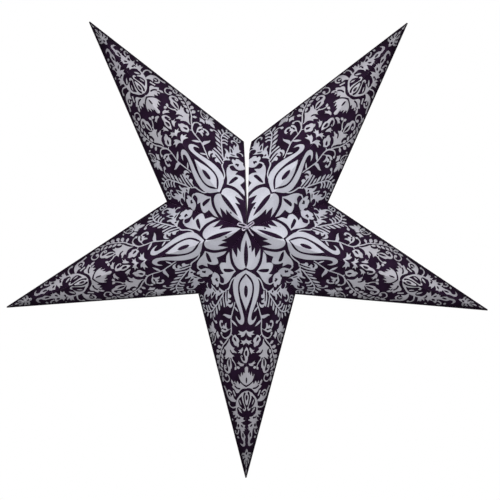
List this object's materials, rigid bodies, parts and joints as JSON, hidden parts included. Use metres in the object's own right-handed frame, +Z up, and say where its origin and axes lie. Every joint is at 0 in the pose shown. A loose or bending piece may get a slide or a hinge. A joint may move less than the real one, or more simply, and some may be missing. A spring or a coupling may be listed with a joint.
{
  "type": "folding paper star lantern",
  "caption": "Five-pointed folding star lantern of printed card; creases let it fold flat like a fan, and strings at the front and back apex tie it open.",
  "frame": {"origin": "the hanging point: the middle of the open notch at the top, in the star plane", "axes": "+Z up, from the star's middle to the hanging point; +X to the right seen from the front; +Y to the back; the tied front faces -Y"},
  "size_m": [0.5914, 0.1968, 0.5591],
  "materials": {
    "printed_paper": "heavy matte paper, dark plum ground with a pale silvery lavender floral print",
    "plain_paper": "unprinted inner side of the paper, glued double",
    "cotton_string": "twisted white cotton string"
  },
  "bodies": {
    "top_left_front_cw": {"top_left_front_cw_panel": "printed_paper"},
    "top_left_front_ccw": {"top_left_front_ccw_panel": "printed_paper"},
    "top_left_back_cw": {"top_left_back_cw_panel": "printed_paper"},
    "top_left_back_ccw": {"top_left_back_ccw_panel": "printed_paper"},
    "left_front_cw": {"left_front_cw_panel": "printed_paper"},
    "left_front_ccw": {"left_front_ccw_panel": "printed_paper"},
    "left_back_cw": {"left_back_cw_panel": "printed_paper"},
    "left_back_ccw": {"left_back_ccw_panel": "printed_paper"},
    "bottom_front_cw": {"bottom_front_cw_panel": "printed_paper", "front_tie_string": "cotton_string"},
    "bottom_front_ccw": {"bottom_front_ccw_panel": "printed_paper"},
    "bottom_back_cw": {"bottom_back_cw_panel": "printed_paper"},
    "bottom_back_ccw": {"bottom_back_ccw_panel": "printed_paper", "back_tie_string": "cotton_string"},
    "right_front_cw": {"right_front_cw_panel": "printed_paper"},
    "right_front_ccw": {"right_front_ccw_panel": "printed_paper"},
    "right_back_cw": {"right_back_cw_panel": "printed_paper"},
    "right_back_ccw": {"right_back_ccw_panel": "printed_paper"},
    "top_right_front_cw": {"top_right_front_cw_panel": "printed_paper"},
    "top_right_front_ccw": {"top_right_front_ccw_panel": "printed_paper"},
    "top_right_back_cw": {"top_right_back_cw_panel": "printed_paper"},
    "top_right_back_ccw": {"top_right_back_ccw_panel": "printed_paper"},
    "front_glue_seam_top_left_left": {"front_glue_seam_top_left_left": "plain_paper"},
    "front_glue_seam_left_bottom": {"front_glue_seam_left_bottom": "plain_paper"},
    "front_glue_seam_bottom_right": {"front_glue_seam_bottom_right": "plain_paper"},
    "front_glue_seam_right_top_right": {"front_glue_seam_right_top_right": "plain_paper"},
    "back_glue_seam_top_left_left": {"back_glue_seam_top_left_left": "plain_paper"},
    "back_glue_seam_left_bottom": {"back_glue_seam_left_bottom": "plain_paper"},
    "back_glue_seam_bottom_right": {"back_glue_seam_bottom_right": "plain_paper"},
    "back_glue_seam_right_top_right": {"back_glue_seam_right_top_right": "plain_paper"}
  },
  "joints": [
    {"name": "fold", "type": "hinge", "parent": "bottom_front_cw", "child": "bottom_front_ccw", "pos_m": [0, -0.0443, -0.26025], "axis": [0, -0.2743, 0.9616], "range_deg": [0, 82.6]},
    {"name": "right_ridge_crease", "type": "hinge", "parent": "right_front_cw", "child": "right_front_ccw", "pos_m": [0.14897, -0.0443, -0.154], "axis": [-0.9092, -0.2743, 0.3131], "range_deg": [0, 82.6]},
    {"name": "top_right_ridge_crease", "type": "hinge", "parent": "top_right_front_cw", "child": "top_right_front_ccw", "pos_m": [0.097, -0.0443, 0.02145], "axis": [-0.592, -0.2743, -0.7578], "range_deg": [0, 82.6]},
    {"name": "left_ridge_crease", "type": "hinge", "parent": "left_front_ccw", "child": "left_front_cw", "pos_m": [-0.14897, -0.0443, -0.154], "axis": [-0.9092, 0.2743, -0.3131], "range_deg": [0, 82.6]},
    {"name": "top_left_ridge_crease", "type": "hinge", "parent": "top_left_front_ccw", "child": "top_left_front_cw", "pos_m": [-0.097, -0.0443, 0.02145], "axis": [-0.592, 0.2743, 0.7578], "range_deg": [0, 82.6]},
    {"name": "bottom_right_valley_crease", "type": "hinge", "parent": "bottom_front_ccw", "child": "right_front_cw", "pos_m": [0.02985, -0.045, -0.14455], "axis": [0.4369, 0.6587, -0.6125], "range_deg": [0, 117.2]},
    {"name": "right_top_right_valley_crease", "type": "hinge", "parent": "right_front_ccw", "child": "top_right_front_cw", "pos_m": [0.04928, -0.045, -0.0881], "axis": [0.7214, 0.6587, 0.2137], "range_deg": [0, 117.2]},
    {"name": "left_bottom_valley_crease", "type": "hinge", "parent": "bottom_front_cw", "child": "left_front_ccw", "pos_m": [-0.02985, -0.045, -0.14455], "axis": [0.4369, -0.6587, 0.6125], "range_deg": [0, 117.2]},
    {"name": "top_left_left_valley_crease", "type": "hinge", "parent": "left_front_cw", "child": "top_left_front_ccw", "pos_m": [-0.04928, -0.045, -0.0881], "axis": [0.7214, -0.6587, -0.2137], "range_deg": [0, 117.2]},
    {"name": "top_left_cw_side_crease", "type": "hinge", "parent": "top_left_front_cw", "child": "top_left_back_cw", "pos_m": [-0.09936, 0, 0.07296], "axis": [0.7927, 0, -0.6096], "range_deg": [0, 79.8]},
    {"name": "top_left_ccw_side_crease", "type": "hinge", "parent": "top_left_front_ccw", "child": "top_left_back_ccw", "pos_m": [-0.1464, 0, 0.0362], "axis": [-0.3997, 0, 0.9167], "range_deg": [0, 79.8]},
    {"name": "left_cw_side_crease", "type": "hinge", "parent": "left_front_cw", "child": "left_back_cw", "pos_m": [-0.19844, 0, -0.13946], "axis": [0.8345, 0, 0.5511], "range_deg": [0, 79.8]},
    {"name": "left_ccw_side_crease", "type": "hinge", "parent": "left_front_ccw", "child": "left_back_ccw", "pos_m": [-0.179, 0, -0.19591], "axis": [-0.9968, 0, -0.0795], "range_deg": [0, 79.8]},
    {"name": "bottom_cw_side_crease", "type": "hinge", "parent": "bottom_front_cw", "child": "bottom_back_cw", "pos_m": [-0.02985, 0, -0.3023], "axis": [-0.2494, 0, 0.9684], "range_deg": [0, 79.8]},
    {"name": "bottom_ccw_side_crease", "type": "hinge", "parent": "bottom_front_ccw", "child": "bottom_back_ccw", "pos_m": [0.02985, 0, -0.3023], "axis": [-0.2494, 0, -0.9684], "range_deg": [0, 79.8]},
    {"name": "right_cw_side_crease", "type": "hinge", "parent": "right_front_cw", "child": "right_back_cw", "pos_m": [0.179, 0, -0.19591], "axis": [-0.9968, 0, 0.0795], "range_deg": [0, 79.8]},
    {"name": "right_ccw_side_crease", "type": "hinge", "parent": "right_front_ccw", "child": "right_back_ccw", "pos_m": [0.19844, 0, -0.13946], "axis": [0.8345, 0, -0.5511], "range_deg": [0, 79.8]},
    {"name": "top_right_cw_side_crease", "type": "hinge", "parent": "top_right_front_cw", "child": "top_right_back_cw", "pos_m": [0.1464, 0, 0.0362], "axis": [-0.3997, 0, -0.9167], "range_deg": [0, 79.8]},
    {"name": "top_right_ccw_side_crease", "type": "hinge", "parent": "top_right_front_ccw", "child": "top_right_back_ccw", "pos_m": [0.09936, 0, 0.07296], "axis": [0.7927, 0, 0.6096], "range_deg": [0, 79.8]},
    {"name": "front_glue_seam_top_left_left_crease", "type": "hinge", "parent": "left_front_cw", "child": "front_glue_seam_top_left_left", "pos_m": [-0.04928, -0.045, -0.0881], "axis": [0.7214, -0.6587, -0.2137], "range_deg": [0, 58.6]},
    {"name": "front_glue_seam_left_bottom_crease", "type": "hinge", "parent": "bottom_front_cw", "child": "front_glue_seam_left_bottom", "pos_m": [-0.02985, -0.045, -0.14455], "axis": [0.4369, -0.6587, 0.6125], "range_deg": [0, 58.6]},
    {"name": "front_glue_seam_bottom_right_crease", "type": "hinge", "parent": "bottom_front_ccw", "child": "front_glue_seam_bottom_right", "pos_m": [0.02985, -0.045, -0.14455], "axis": [0.4369, 0.6587, -0.6125], "range_deg": [0, 58.6]},
    {"name": "front_glue_seam_right_top_right_crease", "type": "hinge", "parent": "right_front_ccw", "child": "front_glue_seam_right_top_right", "pos_m": [0.04928, -0.045, -0.0881], "axis": [0.7214, 0.6587, 0.2137], "range_deg": [0, 58.6]},
    {"name": "back_glue_seam_top_left_left_crease", "type": "hinge", "parent": "left_back_cw", "child": "back_glue_seam_top_left_left", "pos_m": [-0.04928, 0.045, -0.0881], "axis": [-0.7214, -0.6587, 0.2137], "range_deg": [0, 58.6]},
    {"name": "back_glue_seam_left_bottom_crease", "type": "hinge", "parent": "bottom_back_cw", "child": "back_glue_seam_left_bottom", "pos_m": [-0.02985, 0.045, -0.14455], "axis": [-0.4369, -0.6587, -0.6125], "range_deg": [0, 58.6]},
    {"name": "back_glue_seam_bottom_right_crease", "type": "hinge", "parent": "bottom_back_ccw", "child": "back_glue_seam_bottom_right", "pos_m": [0.02985, 0.045, -0.14455], "axis": [-0.4369, 0.6587, 0.6125], "range_deg": [0, 58.6]},
    {"name": "back_glue_seam_right_top_right_crease", "type": "hinge", "parent": "right_back_ccw", "child": "back_glue_seam_right_top_right", "pos_m": [0.04928, 0.045, -0.0881], "axis": [-0.7214, 0.6587, -0.2137], "range_deg": [0, 58.6]}
  ],
  "couplings": [
    {"joint": "right_ridge_crease", "follows": "fold", "ratio": 1},
    {"joint": "top_right_ridge_crease", "follows": "fold", "ratio": 1},
    {"joint": "left_ridge_crease", "follows": "fold", "ratio": 1},
    {"joint": "top_left_ridge_crease", "follows": "fold", "ratio": 1},
    {"joint": "bottom_right_valley_crease", "follows": "fold", "ratio": 1.4172},
    {"joint": "right_top_right_valley_crease", "follows": "fold", "ratio": 1.4172},
    {"joint": "left_bottom_valley_crease", "follows": "fold", "ratio": 1.4172},
    {"joint": "top_left_left_valley_crease", "follows": "fold", "ratio": 1.4172},
    {"joint": "top_left_cw_side_crease", "follows": "fold", "ratio": 0.96544},
    {"joint": "top_left_ccw_side_crease", "follows": "fold", "ratio": 0.96544},
    {"joint": "left_cw_side_crease", "follows": "fold", "ratio": 0.96544},
    {"joint": "left_ccw_side_crease", "follows": "fold", "ratio": 0.96544},
    {"joint": "bottom_cw_side_crease", "follows": "fold", "ratio": 0.96544},
    {"joint": "bottom_ccw_side_crease", "follows": "fold", "ratio": 0.96544},
    {"joint": "right_cw_side_crease", "follows": "fold", "ratio": 0.96544},
    {"joint": "right_ccw_side_crease", "follows": "fold", "ratio": 0.96544},
    {"joint": "top_right_cw_side_crease", "follows": "fold", "ratio": 0.96544},
    {"joint": "top_right_ccw_side_crease", "follows": "fold", "ratio": 0.96544},
    {"joint": "front_glue_seam_top_left_left_crease", "follows": "fold", "ratio": 0.70858},
    {"joint": "front_glue_seam_left_bottom_crease", "follows": "fold", "ratio": 0.70858},
    {"joint": "front_glue_seam_bottom_right_crease", "follows": "fold", "ratio": 0.70858},
    {"joint": "front_glue_seam_right_top_right_crease", "follows": "fold", "ratio": 0.70858},
    {"joint": "back_glue_seam_top_left_left_crease", "follows": "fold", "ratio": 0.70858},
    {"joint": "back_glue_seam_left_bottom_crease", "follows": "fold", "ratio": 0.70858},
    {"joint": "back_glue_seam_bottom_right_crease", "follows": "fold", "ratio": 0.70858},
    {"joint": "back_glue_seam_right_top_right_crease", "follows": "fold", "ratio": 0.70858}
  ]
}
